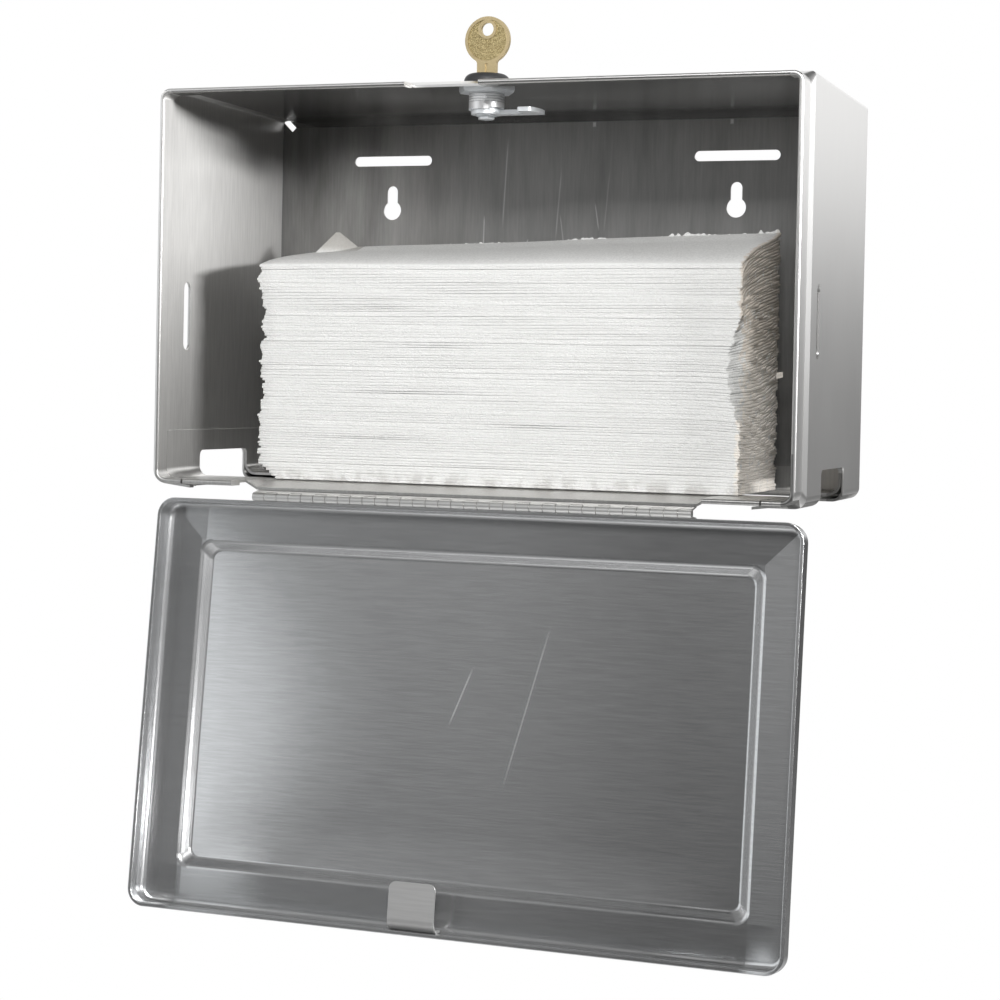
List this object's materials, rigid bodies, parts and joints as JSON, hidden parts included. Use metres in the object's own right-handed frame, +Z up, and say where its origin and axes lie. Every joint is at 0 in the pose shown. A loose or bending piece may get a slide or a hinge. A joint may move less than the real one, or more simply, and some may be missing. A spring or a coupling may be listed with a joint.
{
  "type": "paper towel dispenser",
  "caption": "Wall-mounted stainless cabinet for folded paper towels, with a drop-down door on a continuous hinge, a hooked cam lock with its key, and a slot below for pulling towels",
  "frame": {"origin": "midway between the two keyhole circles, on the outer plane of the back, which lies on the wall", "axes": "+X to the right as seen from the front, +Y into the wall, +Z up"},
  "size_m": [0.3174, 0.1529, 0.4231],
  "materials": {
    "cabinet_steel": "brushed stainless sheet, vertical grain on the walls",
    "door_steel": "brushed stainless sheet, grain across the door",
    "hinge_steel": "plain stainless hinge strip",
    "lock_nickel": "nickel-plated die casting",
    "bezel_dark": "dark glossy plating",
    "hardware_zinc": "zinc-plated steel",
    "lock_brass": "bare brass inside the lock",
    "key_brass": "worn brass with a dull nickel cast",
    "towel_paper": "unbleached soft folded paper"
  },
  "bodies": {
    "cabinet": {"cabinet_shell": "cabinet_steel", "bottom_pan": "cabinet_steel", "hinge_cabinet_leaf": "hinge_steel", "hinge_pin": "hinge_steel", "lock_body": "lock_nickel", "lock_bezel": "bezel_dark", "lock_nut": "hardware_zinc", "towel_stack": "towel_paper"},
    "door": {"door_panel": "door_steel", "hinge_door_leaf": "hinge_steel", "door_strike": "door_steel"},
    "lock_rotor": {"lock_plug": "lock_brass", "lock_wafers": "lock_brass", "lock_stop_washer": "hardware_zinc", "lock_cam": "hardware_zinc", "cam_washer": "hardware_zinc", "cam_screw": "hardware_zinc"},
    "key": {"key": "key_brass"}
  },
  "joints": [
    {"name": "door_hinge", "type": "hinge", "parent": "cabinet", "child": "door", "pos_m": [0, -0.1283, -0.1466], "axis": [1, 0, 0], "range_deg": [-172.8, 7.2]},
    {"name": "lock_turn", "type": "hinge", "parent": "cabinet", "child": "lock_rotor", "pos_m": [0, -0.1108, 0.0343], "axis": [0, 0, 1], "range_deg": [-90, 0]},
    {"name": "key_slide", "type": "slide", "parent": "lock_rotor", "child": "key", "axis": [0, 0, 1], "range_m": [0, 0.02]}
  ]
}
